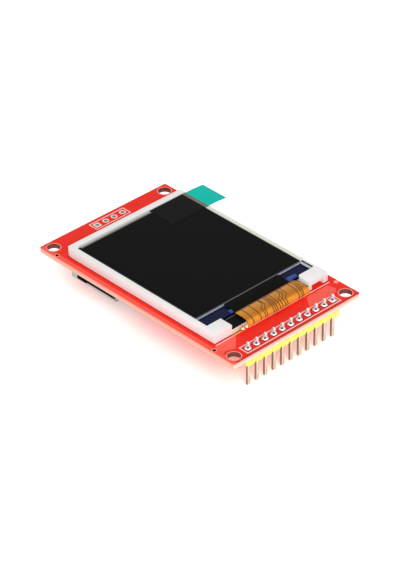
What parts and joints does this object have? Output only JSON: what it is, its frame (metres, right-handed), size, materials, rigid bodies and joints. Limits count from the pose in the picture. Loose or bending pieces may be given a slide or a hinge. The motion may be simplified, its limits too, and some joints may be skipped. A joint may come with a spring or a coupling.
{
  "type": "tft display module",
  "caption": "Small colour TFT screen in a white frame on a red circuit board, with a pin header along one end and a memory card socket on the back.",
  "frame": {"origin": "centre of the mounting-hole pattern on the back face of the board", "axes": "+X along the pin row, +Y along the long side away from the pins, +Z out of the screen"},
  "size_m": [0.0414, 0.062, 0.0121],
  "materials": {
    "black_epoxy": "moulded black epoxy",
    "black_moulding": "moulded black plastic",
    "black_tape": "black polyester tape, low sheen",
    "blue_sealant": "cured blue sealant",
    "brown_ceramic": "fired ceramic body",
    "clear_acrylic": "clear acrylic plate",
    "clear_film": "clear plastic film",
    "filter_glass": "dark coated glass, ground edges",
    "flex_film": "amber polyimide film with copper lines",
    "foam_tape": "double-sided foam tape",
    "gilt_brass": "drawn brass wire, thin gold flash",
    "lamp_phosphor": "white body with yellow phosphor",
    "ledge_glass": "dark blue coated glass",
    "polariser": "black polarising film, glossy",
    "silicon": "bare silicon die",
    "solder": "bright solder, slightly uneven",
    "solder_mask_board": "glass-fibre board, glossy red solder mask on both faces, cream cut edges",
    "stainless_steel": "stamped stainless sheet",
    "teal_film": "coloured polyester tab",
    "tinned_copper": "hot-tinned copper, soft shine",
    "white_film": "white film",
    "white_ink": "printed ink, matt",
    "white_moulding": "moulded white polycarbonate, satin",
    "yellow_nylon": "moulded nylon, satin"
  },
  "bodies": {
    "root": {"pcb": "solder_mask_board", "header_pads": "tinned_copper", "card_header_pads": "tinned_copper", "print_front": "white_ink", "print_back": "white_ink", "header_body": "yellow_nylon", "header_pin_1": "gilt_brass", "header_pin_2": "gilt_brass", "header_pin_3": "gilt_brass", "header_pin_4": "gilt_brass", "header_pin_5": "gilt_brass", "header_pin_6": "gilt_brass", "header_pin_7": "gilt_brass", "header_pin_8": "gilt_brass", "header_pin_9": "gilt_brass", "header_pin_10": "gilt_brass", "header_pin_11": "gilt_brass", "solder_joints": "solder", "mounting_tape": "foam_tape", "lcd_frame": "white_moulding", "reflector": "white_film", "light_guide": "clear_acrylic", "diffuser": "white_film", "prism_film": "clear_film", "window_tape": "black_tape", "lamps": "lamp_phosphor", "lamp_strip": "flex_film", "rear_polariser": "polariser", "tft_glass": "ledge_glass", "filter_glass": "filter_glass", "front_polariser": "polariser", "protective_film": "clear_film", "tab_tape": "clear_film", "pull_tab": "teal_film", "driver_chip": "silicon", "chip_tape": "black_tape", "bar_tape": "black_tape", "edge_sealant": "blue_sealant", "main_flex": "flex_film", "ear_solder": "solder", "tail_solder": "solder", "socket_base": "black_moulding", "socket_shell": "stainless_steel", "socket_contacts": "gilt_brass", "regulator": "black_epoxy", "regulator_leads": "tinned_copper", "transistor": "black_epoxy", "transistor_leads": "tinned_copper", "capacitors": "brown_ceramic", "resistors": "black_epoxy", "chip_terminals": "tinned_copper"}
  },
  "joints": []
}
